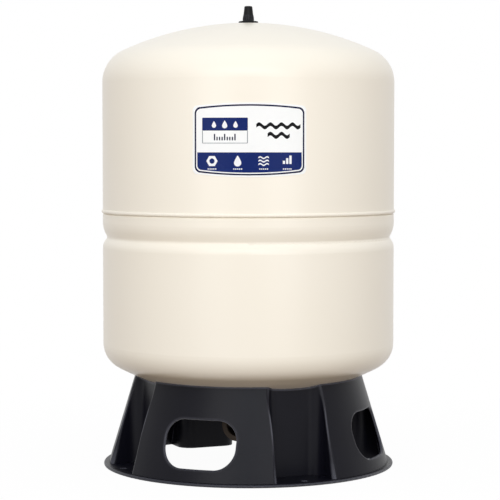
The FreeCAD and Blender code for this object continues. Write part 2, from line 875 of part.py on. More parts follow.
def standForm(name, inset, coneIn, bottom):
    # The solid inside the stand's outer faces, or inside its inner ones: a cone with four channels
    def coneRadius(level):
        return footRadius - coneIn - coneSlope * level

    body = turned(name, [
        (zero, bottom),
        (coneRadius(bottom), bottom),
        (coneRadius(formTop), formTop),
        (zero, formTop),
    ])
    half = size.channel_half + inset
    back = channelBack - inset
    small = size.channel_round + inset
    far = -(footRadius + channelBack) / 2 - footRadius
    sketch = newSketch(body, name + "_channel", "XY_Plane", size.channel_angle, 2 * toolStart)
    draw(sketch, [
        (-half, far),
        (half, far),
        (half, -(back + small), small, 1),
        (half - small, -back),
        (-(half - small), -back, small, 1),
        (-half, -(back + small)),
    ])
    pocket = body.newObject("PartDesign::Pocket", name + "_channel_cut")
    pocket.Profile = sketch
    pocket.Type = 1
    pocket.Reversed = True
    pattern = body.newObject("PartDesign::PolarPattern", name + "_channels")
    pattern.Originals = [pocket]
    pattern.Axis = (sketch, ["N_Axis"])
    pattern.Angle = 360.0
    pattern.Occurrences = len(placeWords)
    body.Tip = pattern
    return body


def lobeEdges(shape):
    # The upright edges between the cone and the channels, with a round that grows upwards
    slope = coneSlope.value
    channelDepth = footRadius.value - slope * formTop.value - channelBack.value
    topRound = min(driving["lobe_round_top"], channelDepth - driving["lobe_land"])
    growth = (topRound - driving["lobe_round_foot"]) / formTop.value
    found = []
    for number, edge in enumerate(shape.Edges, 1):
        ends = [vertex.Point for vertex in edge.Vertexes]
        if len(ends) < 2 or abs(ends[0].z - ends[-1].z) < driving["stand_wall"]:
            continue
        middle = edge.valueAt((edge.FirstParameter + edge.LastParameter) / 2)
        offCone = abs(radiusOf(middle) - (footRadius.value - slope * middle.z))
        if offCone > driving["layer_fit"]:
            continue
        rounds = [driving["lobe_round_foot"] + growth * point.z for point in ends]
        found.append((number, rounds[0], rounds[-1]))
    return found


# Places along an edge where its distance from a face is measured
edgeShares = [0.0, 0.25, 0.5, 0.75, 1.0]


def windowEdges(shape):
    # The edges of the windows that lie in the cone's outer face
    top = driving["window_middle"] + driving["window_tall"] / 2 + driving["layer_fit"]
    low = driving["window_middle"] - driving["window_tall"] / 2 - driving["layer_fit"]
    found = []
    for number, edge in enumerate(shape.Edges, 1):
        first, last = edge.FirstParameter, edge.LastParameter
        points = [edge.valueAt(first + (last - first) * share) for share in edgeShares]
        if max(point.z for point in points) > top or min(point.z for point in points) < low:
            continue
        offCone = [abs(radiusOf(point) - (footRadius.value - coneSlope.value * point.z)) for point in points]
        if max(offCone) < driving["layer_fit"]:
            found.append((number, driving["window_edge"], driving["window_edge"]))
    return found


def windowTool(place, angle):
    # A rounded bar from the axis outwards, which cuts one lobe's window
    half = size.window_wide / 2
    low = size.window_middle - size.window_tall / 2
    high = size.window_middle + size.window_tall / 2
    small = size.window_corner
    tool = padded("window_" + place, [
        (-(half - small), low),
        (half - small, low, small, 1),
        (half, low + small),
        (half, high - small, small, 1),
        (half - small, high),
        (-(half - small), high, small, 1),
        (-half, high - small),
        (-half, low + small, small, 1),
    ], "XZ_Plane", flangeRadius + size.tool_reach)
    return spun(tool, angle)


def standTab(place, angle):
    # Ledge behind a channel, on two gussets, with the hole for the stud of the lower shell
    far = -(channelBack - size.stand_wall / 2)
    inner = -(fixingRing - size.tab_nose)
    half = size.tab_half
    small = size.tab_nose / 2
    foot = tabTop - size.tab_tall
    plate = padded("tab_" + place, [
        (-half, far),
        (half, far),
        (half, inner - small, small, 1),
        (half - small, inner),
        (-(half - small), inner, small, 1),
        (-half, inner - small),
    ], "XY_Plane", size.tab_tall, foot)
    pieces = [spun(plate, angle)]
    for side, word in ((1, "right"), (-1, "left")):
        offset = side * (half - size.gusset_wall) - size.gusset_wall / 2
        gusset = padded(f"gusset_{word}_{place}", [
            (far, foot - size.gusset_tall),
            (inner - small, foot),
            (far, foot),
        ], "YZ_Plane", size.gusset_wall, offset)
        pieces.append(spun(gusset, angle))
    return pieces


def floorHole(place, angle):
    hole = primitive("Part::Cylinder", "floor_hole_" + place, Radius=size.floor_hole,
                     Height=3 * size.flange_tall)
    bind(hole, "Placement.Base.x", floorHoleRing * sine(angle))
    bind(hole, "Placement.Base.y", -floorHoleRing * cosine(angle))
    return lifted(hole, toolStart)


def fixingHole(place, angle):
    hole = primitive("Part::Cylinder", "fixing_hole_" + place, Radius=size.stud_radius + size.stud_fit,
                     Height=3 * size.tab_tall)
    bind(hole, "Placement.Base.x", fixingRing * sine(angle))
    bind(hole, "Placement.Base.y", -fixingRing * cosine(angle))
    return lifted(hole, tabTop - 2 * size.tab_tall)


def baseStand(domeTool):
    # One plastic moulding: four hollow lobes with windows between four channels, on a foot flange
    form = standForm("stand_form", zero, zero, zero)
    core = standForm("stand_core", size.stand_wall, coneInset, toolStart)
    doc.recompute()
    shell = rounded("stand_lobes", form, lobeEdges(form.Shape))
    rim = size.flange_round
    flange = turned("stand_flange", [
        (zero, zero),
        (flangeRadius - rim, zero, rim, 1),
        (flangeRadius, rim),
        (flangeRadius, size.flange_tall - rim, rim, 1),
        (flangeRadius - rim, size.flange_tall),
        (zero, size.flange_tall),
    ])
    windows = [windowTool(place, size.elbow_angle + number * quarterTurn)
               for number, place in enumerate(placeWords)]
    hollow = cut("stand_hollow", joined("stand_outside", [shell, flange]), core)
    pierced = cut("stand_pierced", hollow, joined("stand_windows", windows))
    doc.recompute()
    softened = rounded("stand_soft_windows", pierced, windowEdges(pierced.Shape))
    pieces = [softened]
    holes = []
    for number, place in enumerate(placeWords):
        angle = size.channel_angle + number * quarterTurn
        pieces += standTab(place, angle)
        holes += [floorHole(place, angle), fixingHole(place, angle)]
    return cut("base_stand", joined("stand_solid", pieces), joined("stand_holes", holes + [domeTool]))


def fixings(domeTool):
    # Stud welded under the shell, with washer and nut, behind each channel
    pieces = []
    shoulder = tabTop + size.fixing_gap
    washerTop = tabTop - size.tab_tall - size.fixing_gap
    nutTopLevel = washerTop - size.washer_tall - size.fixing_gap
    nutFootLevel = nutTopLevel - size.stand_nut_tall
    bore = size.stud_radius + size.fixing_gap
    for number, place in enumerate(placeWords):
        angle = size.channel_angle + number * quarterTurn

        def atFixing(item):
            bind(item, "Placement.Base.x", fixingRing * sine(angle))
            bind(item, "Placement.Base.y", -fixingRing * cosine(angle))
            return item

        bar = atFixing(turned("stud_bar_" + place, [
            (zero, shoulder - size.stud_long),
            (size.stud_radius, shoulder - size.stud_long),
            (size.stud_radius, shoulder),
            (size.stud_collar, shoulder),
            (size.stud_collar, size.rim_height),
            (zero, size.rim_height),
        ]))
        pieces.append(cut("stand_stud_" + place, bar, domeTool))
        washerFoot = washerTop - size.washer_tall
        washer = ring("stand_washer_" + place, bore, size.washer_radius, washerFoot, washerTop)
        pieces.append(atFixing(washer))
        hexagon = hexPiece("stand_nut_hexagon_" + place, size.stand_nut_across, size.stand_nut_tall,
                           nutFootLevel)
        hole = barPiece("stand_nut_bore_" + place, bore, size.stand_nut_tall, nutFootLevel)
        pieces.append(cut("stand_nut_" + place, atFixing(hexagon), atFixing(hole)))
    return pieces


def frontLabel():
    # Printed film on the front of the upper shell, with bowed top and bottom edges
    inner = size.tank_radius + size.label_glue
    half = size.label_wide / 2
    small = size.label_corner
    high = size.label_middle + size.label_tall / 2 - size.label_bow
    low = size.label_middle - size.label_tall / 2 + size.label_bow
    reach = half - small
    bow = (reach * reach + size.label_bow * size.label_bow) / (2 * size.label_bow)
    sheetRing = ring("label_ring", inner, inner + size.label_sheet, low - small, high + small)
    outline = padded("label_outline", [
        (-reach, low, bow, 1),
        (reach, low, small, 1),
        (half, low + small),
        (half, high - small, small, 1),
        (reach, high, bow, 1),
        (-reach, high, small, 1),
        (-half, high - small),
        (-half, low + small, small, 1),
    ], "XZ_Plane", size.tank_radius + size.tool_reach)
    return spun(common("front_label", sheetRing, outline), size.label_angle)


# The whole tank

domeTool = doc.addObject("Part::Sphere", "lower_dome_tool")
bind(domeTool, "Radius", size.lower_crown + size.seat_gap)
lifted(domeTool, lowerDome.middle)

pieces = [
    upperShell(), lowerShell(), clenchRing(), diaphragm(), waterLiner(),
    portGuard(), portSeal(), portLockNut(), outletGasket(), outletElbow(),
    valveBoss(), valveStem(), valveStemGasket(), valveCoreBarrel(), valveCorePin(), valveCoreSeal(),
    valveCoreSpring(), valveCap(), valveCapSeal(),
    baseStand(domeTool), frontLabel(),
] + fixings(domeTool)

doc.recompute()
for item in doc.Objects:
    if "Invalid" in item.State or "Error" in item.State:
        raise RuntimeError(f"{item.Name} failed: {item.State}")
for piece in pieces:
    if piece.Shape.isNull() or not piece.Shape.isValid():
        raise RuntimeError(f"{piece.Label} has no valid shape")

os.makedirs("parts", exist_ok=True)
for piece in pieces:
    piece.Shape.exportStep(f"parts/{piece.Label}.step")
    print(piece.Label, len(piece.Shape.Solids), round(piece.Shape.Volume, 3))
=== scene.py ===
import json
import math

import bmesh
import bpy
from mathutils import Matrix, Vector


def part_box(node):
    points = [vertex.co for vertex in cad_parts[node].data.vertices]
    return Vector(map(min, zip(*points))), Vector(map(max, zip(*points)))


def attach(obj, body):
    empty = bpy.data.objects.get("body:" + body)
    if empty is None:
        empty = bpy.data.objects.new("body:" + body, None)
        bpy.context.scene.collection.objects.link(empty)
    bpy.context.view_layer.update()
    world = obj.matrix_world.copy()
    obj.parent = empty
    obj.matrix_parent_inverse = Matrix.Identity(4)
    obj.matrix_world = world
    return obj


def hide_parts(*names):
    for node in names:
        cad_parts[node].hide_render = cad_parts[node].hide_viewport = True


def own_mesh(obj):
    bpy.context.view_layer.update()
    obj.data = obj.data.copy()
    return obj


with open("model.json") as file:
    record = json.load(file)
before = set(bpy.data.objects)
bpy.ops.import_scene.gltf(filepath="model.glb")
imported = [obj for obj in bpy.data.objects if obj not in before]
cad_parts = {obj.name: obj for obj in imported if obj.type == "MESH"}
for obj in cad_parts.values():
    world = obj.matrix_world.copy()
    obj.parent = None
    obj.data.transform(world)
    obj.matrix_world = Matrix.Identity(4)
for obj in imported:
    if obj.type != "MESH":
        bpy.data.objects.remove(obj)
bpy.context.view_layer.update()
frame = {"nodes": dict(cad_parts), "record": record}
print("frame loaded")

mm = 0.001
white = (1, 1, 1, 1)


# Colours and nodes

def hexColour(code):
    # sRGB hex to the linear values that the shader takes
    channels = [int(code[place:place + 2], 16) / 255 for place in (1, 3, 5)]
    linear = [value / 12.92 if value <= 0.04045 else ((value + 0.055) / 1.055) ** 2.4 for value in channels]
    return (*linear, 1.0)


def addNode(tree, kind, inputs=None, **settings):
    # Adds a node, sets its fields, and links or fills its inputs; a node as a value gives its first output
    made = tree.nodes.new(kind)
    for field, value in settings.items():
        setattr(made, field, value)
    for socket, value in (inputs or {}).items():
        if isinstance(value, bpy.types.Node):
            value = value.outputs[0]
        if isinstance(value, bpy.types.NodeSocket):
            tree.links.new(value, made.inputs[socket])
        else:
            made.inputs[socket].default_value = value
    return made


def newMaterial(name):
    # An empty material, its tree, and each point's place on the object
    material = bpy.data.materials.new(name)
    material.use_nodes = True
    tree = material.node_tree
    tree.nodes.clear()
    return material, tree, addNode(tree, "ShaderNodeTexCoord").outputs["Object"]


def perMetre(size):
    # Noise scale that repeats a feature every so many millimetres
    return 1 / (size * mm)


# Materials

# Sizes are in millimetres, and smooth and dull are the roughness between which a finish drifts.
# Grains and skins are drawn a few times coarser than the real ones, which are too fine to show.
enamel = {
    "cream": "#F7F2E7", "shade": "#F5EFE2", "patch": 160,
    "peel": 3.2, "peelDepth": 0.012,
    "smooth": 0.27, "dull": 0.35, "gloss": 0.4,
}


def creamEnamel():
    # Polyester powder coat, stoved on steel: satin, and a faint orange peel that softens the highlights
    material, tree, place = newMaterial("creamEnamel")
    drift = addNode(tree, "ShaderNodeTexNoise", {"Vector": place, "Scale": perMetre(enamel["patch"])})
    colour = addNode(tree, "ShaderNodeMix", {
        "Factor": drift, 6: hexColour(enamel["cream"]), 7: hexColour(enamel["shade"])}, data_type="RGBA")
    peel = addNode(tree, "ShaderNodeTexNoise", {
        "Vector": place, "Scale": perMetre(enamel["peel"]), "Detail": 1.0})
    sheen = addNode(tree, "ShaderNodeMapRange", {
        "Value": peel, "To Min": enamel["smooth"], "To Max": enamel["dull"]})
    relief = addNode(tree, "ShaderNodeBump", {"Height": peel, "Distance": enamel["peelDepth"] * mm})
    shader = addNode(tree, "ShaderNodeBsdfPrincipled", {
        "Base Color": colour.outputs[2], "Roughness": sheen, "Normal": relief,
        "IOR": 1.5, "Specular IOR Level": enamel["gloss"]})
    addNode(tree, "ShaderNodeOutputMaterial", {"Surface": shader})
    return material


plastics = {
    "standPolypropylene": {
        "base": "#0C0C14", "worn": "#11111A", "smooth": 0.31, "dull": 0.42, "grain": 0.9,
        "look": 2.8,    # depth of the look inside the wall
    },
    "capPolypropylene": {
        "base": "#0E0E10", "worn": "#141416", "smooth": 0.37, "dull": 0.48, "grain": 0.6,
        "look": 0.5,
    },
}
moulded = {
    "cloud": 45, "grainDepth": 0.035, "gloss": 0.15, "paintedHighlight": "#4C4D56",
    "highlightStarts": 0.96,   # share of the look still clear where the painted highlight colour starts
    "highlightFull": 0.66,     # and where it is full
}


def blackPolypropylene(name):
    # Moulded polypropylene: near black, satin from the spark-eroded grain of its mould,
    # and a painted highlight: paler colour along its outward edges, which a short look inside the wall finds
    given = plastics[name]
    material, tree, place = newMaterial(name)
    cloud = addNode(tree, "ShaderNodeTexNoise", {"Vector": place, "Scale": perMetre(moulded["cloud"])})
    plain = addNode(tree, "ShaderNodeMix", {
        "Factor": cloud, 6: hexColour(given["base"]), 7: hexColour(given["worn"])}, data_type="RGBA")
    # Painted highlight: a short look inside the wall finds the outward edges, which are coloured paler as if
    # they caught the light
    depth = addNode(tree, "ShaderNodeAmbientOcclusion", {"Distance": given["look"] * mm},
                    inside=True, only_local=True, samples=8)
    highlightMask = addNode(tree, "ShaderNodeMapRange", {
        "Value": depth.outputs["AO"], "From Min": moulded["highlightStarts"], "From Max": moulded["highlightFull"],
        "To Min": 0.0, "To Max": 1.0})
    withHighlight = addNode(tree, "ShaderNodeMix", {
        "Factor": highlightMask, 6: plain.outputs[2], 7: hexColour(moulded["paintedHighlight"])}, data_type="RGBA")
    fine = addNode(tree, "ShaderNodeTexNoise", {
        "Vector": place, "Scale": perMetre(given["grain"]), "Detail": 3.0, "Roughness": 0.6})
    sheen = addNode(tree, "ShaderNodeMapRange", {
        "Value": fine, "To Min": given["smooth"], "To Max": given["dull"]})
    relief = addNode(tree, "ShaderNodeBump", {"Height": fine, "Distance": moulded["grainDepth"] * mm})
    shader = addNode(tree, "ShaderNodeBsdfPrincipled", {
        "Base Color": withHighlight.outputs[2], "Roughness": sheen, "Normal": relief,
        "IOR": 1.49, "Specular IOR Level": moulded["gloss"]})
    addNode(tree, "ShaderNodeOutputMaterial", {"Surface": shader})
    return material


rubbers = {
    "sealRubber": {"base": "#161616", "pale": "#212121"},
    "butylRubber": {"base": "#1A1A1C", "pale": "#26262A"},
}
cured = {"bloom": 14, "skin": 0.9, "skinDepth": 0.03, "smooth": 0.62, "dull": 0.78}


def curedRubber(name):
    # Vulcanised rubber: dull, with a faint pale bloom
    given = rubbers[name]
    material, tree, place = newMaterial(name)
    bloom = addNode(tree, "ShaderNodeTexNoise", {
        "Vector": place, "Scale": perMetre(cured["bloom"]), "Detail": 3.0})
    colour = addNode(tree, "ShaderNodeMix", {
        "Factor": bloom, 6: hexColour(given["base"]), 7: hexColour(given["pale"])}, data_type="RGBA")
    sheen = addNode(tree, "ShaderNodeMapRange", {
        "Value": bloom, "To Min": cured["smooth"], "To Max": cured["dull"]})
    skin = addNode(tree, "ShaderNodeTexNoise", {"Vector": place, "Scale": perMetre(cured["skin"])})
    relief = addNode(tree, "ShaderNodeBump", {"Height": skin, "Distance": cured["skinDepth"] * mm})
    shader = addNode(tree, "ShaderNodeBsdfPrincipled", {
        "Base Color": colour.outputs[2], "Roughness": sheen, "Normal": relief, "IOR": 1.52})
    addNode(tree, "ShaderNodeOutputMaterial", {"Surface": shader})
    return material


metals = {
    "castStainlessPaintedShade": {   # sandy from its mould; its dark brown colour is painted shade, as the fitting looks in the stand's shadow
        "base": "#4E463F", "tint": "#433B35", "smooth": 0.49, "dull": 0.63,
        "grain": 0.8, "depth": 0.03, "draw": (1, 1, 1),
    },
    "zincPlatedSteel": {   # evenly bright
        "base": "#C2C4C8", "tint": "#B2B5B6", "smooth": 0.26, "dull": 0.40,
        "grain": 0.6, "depth": 0.015, "draw": (1, 1, 1),
    },
    "springSteel": {   # smooth drawn wire
        "base": "#A3A4A6", "tint": "#95979A", "smooth": 0.22, "dull": 0.36,
        "grain": 0.5, "depth": 0.01, "draw": (1, 1, 4),
    },
    "turnedBrass": {   # fine tool lines round the axis
        "base": "#C9A65A", "tint": "#BD984C", "smooth": 0.20, "dull": 0.34,
        "grain": 0.5, "depth": 0.012, "draw": (1, 1, 8),
    },
}
metalCloud = 9


def workedMetal(name):
    # A metal whose grain is packed closer along the axes where draw is above 1, as its tool leaves it
    given = metals[name]
    material, tree, place = newMaterial(name)
    drawn = addNode(tree, "ShaderNodeMapping", {"Vector": place, "Scale": given["draw"]})
    cloud = addNode(tree, "ShaderNodeTexNoise", {"Vector": place, "Scale": perMetre(metalCloud)})
    colour = addNode(tree, "ShaderNodeMix", {
        "Factor": cloud, 6: hexColour(given["base"]), 7: hexColour(given["tint"])}, data_type="RGBA")
    fine = addNode(tree, "ShaderNodeTexNoise", {
        "Vector": drawn, "Scale": perMetre(given["grain"]), "Detail": 3.0, "Roughness": 0.6})
    sheen = addNode(tree, "ShaderNodeMapRange", {
        "Value": fine, "To Min": given["smooth"], "To Max": given["dull"]})
    relief = addNode(tree, "ShaderNodeBump", {"Height": fine, "Distance": given["depth"] * mm})
    shader = addNode(tree, "ShaderNodeBsdfPrincipled", {
        "Base Color": colour.outputs[2], "Roughness": sheen, "Normal": relief, "Metallic": 1.0})
    addNode(tree, "ShaderNodeOutputMaterial", {"Surface": shader})
    return material


liner = {
    "base": "#E6E5DF", "tint": "#DEDDD6", "cloud": 30,
    "skin": 1.4, "skinDepth": 0.02, "smooth": 0.38, "dull": 0.5,
    "glow": 0.15, "glowReach": 4.0,
}


def whitePolypropylene():
    # Natural food-grade polypropylene: milky, and slightly see-through at its edges
    material, tree, place = newMaterial("whitePolypropylene")
    cloud = addNode(tree, "ShaderNodeTexNoise", {"Vector": place, "Scale": perMetre(liner["cloud"])})
    colour = addNode(tree, "ShaderNodeMix", {
        "Factor": cloud, 6: hexColour(liner["base"]), 7: hexColour(liner["tint"])}, data_type="RGBA")
    sheen = addNode(tree, "ShaderNodeMapRange", {
        "Value": cloud, "To Min": liner["smooth"], "To Max": liner["dull"]})
    skin = addNode(tree, "ShaderNodeTexNoise", {"Vector": place, "Scale": perMetre(liner["skin"])})
    relief = addNode(tree, "ShaderNodeBump", {"Height": skin, "Distance": liner["skinDepth"] * mm})
    shader = addNode(tree, "ShaderNodeBsdfPrincipled", {
        "Base Color": colour.outputs[2], "Roughness": sheen, "Normal": relief,
        "Subsurface Weight": liner["glow"], "Subsurface Radius": (liner["glowReach"] * mm,) * 3})
    addNode(tree, "ShaderNodeOutputMaterial", {"Surface": shader})
    return material


films = {
    "labelFilm": {"base": "#F9FBFC", "tint": "#F4F7F9", "smooth": 0.22, "dull": 0.28, "gloss": 0.15},
    "navyInk": {"base": "#142764", "tint": "#182B6C", "smooth": 0.24, "dull": 0.30, "gloss": 0.06},
    "whiteInk": {"base": "#F4F6FA", "tint": "#EEF1F6", "smooth": 0.24, "dull": 0.30, "gloss": 0.06},
    "greyInk": {"base": "#858B94", "tint": "#7C828C", "smooth": 0.24, "dull": 0.30, "gloss": 0.06},
    "deepInk": {"base": "#16183C", "tint": "#1A1C43", "smooth": 0.24, "dull": 0.30, "gloss": 0.06},
    "blackInk": {"base": "#0D0D10", "tint": "#131316", "smooth": 0.24, "dull": 0.30, "gloss": 0.06},
}
vinyl = {"cloud": 18, "skin": 2.2, "skinDepth": 0.006}


def printedFilm(name):
    # Screen-printed vinyl: flat colour with the faint unevenness of ink under a gloss film
    given = films[name]
    material, tree, place = newMaterial(name)
    cloud = addNode(tree, "ShaderNodeTexNoise", {"Vector": place, "Scale": perMetre(vinyl["cloud"])})
    colour = addNode(tree, "ShaderNodeMix", {
        "Factor": cloud, 6: hexColour(given["base"]), 7: hexColour(given["tint"])}, data_type="RGBA")
    sheen = addNode(tree, "ShaderNodeMapRange", {
        "Value": cloud, "To Min": given["smooth"], "To Max": given["dull"]})
    skin = addNode(tree, "ShaderNodeTexNoise", {"Vector": place, "Scale": perMetre(vinyl["skin"])})
    relief = addNode(tree, "ShaderNodeBump", {"Height": skin, "Distance": vinyl["skinDepth"] * mm})
    shader = addNode(tree, "ShaderNodeBsdfPrincipled", {
        "Base Color": colour.outputs[2], "Roughness": sheen, "Normal": relief,
        "IOR": 1.5, "Specular IOR Level": given["gloss"]})
    addNode(tree, "ShaderNodeOutputMaterial", {"Surface": shader})
    return material


materials = {
    "cream_paint": creamEnamel(),
    "stand_plastic": blackPolypropylene("standPolypropylene"),
    "cap_plastic": blackPolypropylene("capPolypropylene"),
    "stainless_steel": workedMetal("castStainlessPaintedShade"),
    "plated_steel": workedMetal("zincPlatedSteel"),
    "spring_steel": workedMetal("springSteel"),
    "brass": workedMetal("turnedBrass"),
    "black_rubber": curedRubber("sealRubber"),
    "butyl_rubber": curedRubber("butylRubber"),
    "white_polypropylene": whitePolypropylene(),
    "label_film": printedFilm("labelFilm"),
}
inks = {name: printedFilm(name) for name in ("navyInk", "whiteInk", "greyInk", "deepInk", "blackInk")}

slotOf = {row["node"]: row["material_slot"] for row in frame["record"]["subparts"]}
for nodeName, nodeObject in frame["nodes"].items():
    if not nodeObject.material_slots:
        nodeObject.data.materials.append(None)
    for materialSlot in nodeObject.material_slots:
        materialSlot.link = "OBJECT"
        materialSlot.material = materials[slotOf[nodeName]]
print("materials made")


# Geometry Nodes: what repeats or follows a path

def geometryTree(name, given):
    # A tree with named inputs, given as name: (kind, value)
    tree = bpy.data.node_groups.new(name, "GeometryNodeTree")
    tree.interface.new_socket("Mesh", in_out="OUTPUT", socket_type="NodeSocketGeometry")
    for title, (kind, value) in given.items():
        made = tree.interface.new_socket(title, in_out="INPUT", socket_type="NodeSocket" + kind)
        if value is not None:
            made.default_value = value
    return tree, addNode(tree, "NodeGroupInput").outputs


def closeTree(tree, geometry, finish):
    # Makes the copies real and gives them their material
    real = addNode(tree, "GeometryNodeRealizeInstances", {0: geometry})
    coated = addNode(tree, "GeometryNodeSetMaterial", {"Geometry": real, "Material": finish})
    addNode(tree, "NodeGroupOutput", {0: coated})
    return tree


def growPiece(name, tree, values, body, slot):
    # Runs a tree, keeps its result as a plain mesh, and rides it on a body
    piece = bpy.data.objects.new(name, bpy.data.meshes.new(name))
    bpy.context.collection.objects.link(piece)
    run = piece.modifiers.new(name, "NODES")
    run.node_group = tree
    values = {**values, "Finish": materials[slot]}
    for item in tree.interface.items_tree:
        if item.in_out == "INPUT" and item.name in values:
            run[item.identifier] = values[item.name]
    grown = bpy.data.meshes.new_from_object(piece.evaluated_get(bpy.context.evaluated_depsgraph_get()))
    piece.modifiers.remove(run)
    piece.data = grown
    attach(piece, body)
    return piece


def ringPlaces(tree, count, ringRadius, firstAngle, foot):
    # Points evenly round the tank's axis, and the turn of each from the front
    number = addNode(tree, "GeometryNodeInputIndex")
    share = addNode(tree, "ShaderNodeMath", {0: number, 1: count}, operation="DIVIDE")
    turn = addNode(tree, "ShaderNodeMath", {
        0: share, 1: 2 * math.pi, 2: firstAngle}, operation="MULTIPLY_ADD")
    sine = addNode(tree, "ShaderNodeMath", {0: turn}, operation="SINE")
    cosine = addNode(tree, "ShaderNodeMath", {0: turn}, operation="COSINE")
    across = addNode(tree, "ShaderNodeMath", {0: sine, 1: ringRadius}, operation="MULTIPLY")
    back = addNode(tree, "ShaderNodeMath", {0: cosine, 1: ringRadius}, operation="MULTIPLY")
    front = addNode(tree, "ShaderNodeMath", {0: back, 1: -1.0}, operation="MULTIPLY")
    place = addNode(tree, "ShaderNodeCombineXYZ", {0: across, 1: front, 2: foot})
    return addNode(tree, "GeometryNodePoints", {"Count": count, "Position": place}), turn


def threadTree():
    # A screw thread's ridge, or a wire, wound up an axis at each of a ring of places
    tree, given = geometryTree("screwThread", {
        "Radius": ("Float", 0.004), "Pitch": ("Float", 0.00125), "Turns": ("Float", 5.0),
        "Ridge": ("Float", 0.0004), "Steps": ("Int", 32), "Sides": ("Int", 4), "Count": ("Int", 1),
        "Ring Radius": ("Float", 0.0), "First Angle": ("Float", 0.0), "Foot": ("Float", 0.0),
        "Tilt": ("Vector", (0.0, 0.0, 0.0)), "Finish": ("Material", None)})
    high = addNode(tree, "ShaderNodeMath", {0: given["Pitch"], 1: given["Turns"]}, operation="MULTIPLY")
    wound = addNode(tree, "GeometryNodeCurveSpiral", {
        "Resolution": given["Steps"], "Rotations": given["Turns"], "Start Radius": given["Radius"],
        "End Radius": given["Radius"], "Height": high})
    upright = addNode(tree, "GeometryNodeSetCurveNormal", {"Curve": wound}, mode="Z_UP")
    section = addNode(tree, "GeometryNodeCurvePrimitiveCircle", {
        "Resolution": given["Sides"], "Radius": given["Ridge"]}, mode="RADIUS")
    ridge = addNode(tree, "GeometryNodeCurveToMesh", {
        "Curve": upright, "Profile Curve": section, "Fill Caps": True})
    points, _ = ringPlaces(tree, given["Count"], given["Ring Radius"], given["First Angle"], given["Foot"])
    copies = addNode(tree, "GeometryNodeInstanceOnPoints", {
        "Points": points, "Instance": ridge, "Rotation": given["Tilt"]})
    return closeTree(tree, copies, given["Finish"])


def weldTree():
    # A weld bead round the vessel, its ripples of uneven height under the paint
    tree, given = geometryTree("weldBead", {
        "Radius": ("Float", 0.195), "Height": ("Float", 0.34), "Half Tall": ("Float", 0.0021),
        "Proud": ("Float", 0.0014), "Ripples": ("Int", 300), "Steps": ("Int", 6), "Sides": ("Int", 14),
        "Ripple": ("Float", 0.08), "Unevenness": ("Float", 0.06), "Seed": ("Int", 3),
        "Finish": ("Material", None)})
    count = addNode(tree, "ShaderNodeMath", {0: given["Ripples"], 1: given["Steps"]}, operation="MULTIPLY")
    around = addNode(tree, "GeometryNodeCurvePrimitiveCircle", {
        "Resolution": count, "Radius": given["Radius"]}, mode="RADIUS")
    number = addNode(tree, "GeometryNodeInputIndex")
    step = addNode(tree, "ShaderNodeMath", {0: number, 1: given["Steps"]}, operation="DIVIDE")
    ripple = addNode(tree, "ShaderNodeMath", {0: step}, operation="FLOOR")
    inRipple = addNode(tree, "ShaderNodeMath", {0: step}, operation="FRACT")
    arc = addNode(tree, "ShaderNodeMath", {0: inRipple, 1: math.pi}, operation="MULTIPLY")
    hump = addNode(tree, "ShaderNodeMath", {0: arc}, operation="SINE")
    swell = addNode(tree, "ShaderNodeMath", {0: hump, 1: given["Ripple"]}, operation="MULTIPLY")
    lowest = addNode(tree, "ShaderNodeMath", {0: given["Unevenness"], 1: -1.0}, operation="MULTIPLY")
    uneven = addNode(tree, "FunctionNodeRandomValue", {
        2: lowest, 3: given["Unevenness"], "ID": ripple, "Seed": given["Seed"]}, data_type="FLOAT")
    change = addNode(tree, "ShaderNodeMath", {0: swell, 1: uneven.outputs[1]}, operation="ADD")
    girth = addNode(tree, "ShaderNodeMath", {0: 1.0, 1: change}, operation="ADD")
    level = addNode(tree, "GeometryNodeSetCurveNormal", {"Curve": around}, mode="Z_UP")
    circle = addNode(tree, "GeometryNodeCurvePrimitiveCircle", {
        "Resolution": given["Sides"], "Radius": given["Half Tall"]}, mode="RADIUS")
    flatness = addNode(tree, "ShaderNodeMath", {0: given["Proud"], 1: given["Half Tall"]}, operation="DIVIDE")
    flat = addNode(tree, "ShaderNodeCombineXYZ", {0: flatness, 1: 1.0, 2: 1.0})
    section = addNode(tree, "GeometryNodeTransform", {"Geometry": circle, "Scale": flat})
    bead = addNode(tree, "GeometryNodeCurveToMesh", {
        "Curve": level, "Profile Curve": section, "Scale": girth})
    smooth = addNode(tree, "GeometryNodeSetShadeSmooth", {"Geometry": bead})
    up = addNode(tree, "ShaderNodeCombineXYZ", {2: given["Height"]})
    lifted = addNode(tree, "GeometryNodeTransform", {"Geometry": smooth, "Translation": up})
    return closeTree(tree, lifted, given["Finish"])


def gripTree():
    # Upright ribs round the tapered cap
    tree, given = geometryTree("gripRibs", {
        "Count": ("Int", 20), "Radius": ("Float", 0.007), "Middle": ("Float", 0.6), "Tall": ("Float", 0.007),
        "Wide": ("Float", 0.0009), "Lean": ("Float", 0.1), "Sides": ("Int", 10),
        "Finish": ("Material", None)})
    half = addNode(tree, "ShaderNodeMath", {0: given["Wide"], 1: 2.0}, operation="DIVIDE")
    bead = addNode(tree, "GeometryNodeMeshUVSphere", {
        "Segments": given["Sides"], "Rings": given["Sides"], "Radius": half})
    slimness = addNode(tree, "ShaderNodeMath", {0: given["Tall"], 1: given["Wide"]}, operation="DIVIDE")
    drawn = addNode(tree, "ShaderNodeCombineXYZ", {0: 1.0, 1: 1.0, 2: slimness})
    rib = addNode(tree, "GeometryNodeTransform", {"Geometry": bead, "Scale": drawn})
    smooth = addNode(tree, "GeometryNodeSetShadeSmooth", {"Geometry": rib})
    points, turn = ringPlaces(tree, given["Count"], given["Radius"], 0.0, given["Middle"])
    lean = addNode(tree, "ShaderNodeMath", {0: given["Lean"], 1: -1.0}, operation="MULTIPLY")
    facing = addNode(tree, "ShaderNodeCombineXYZ", {0: lean, 1: 0.0, 2: turn})
    copies = addNode(tree, "GeometryNodeInstanceOnPoints", {
        "Points": points, "Instance": smooth, "Rotation": facing})
    return closeTree(tree, copies, given["Finish"])


threads = threadTree()

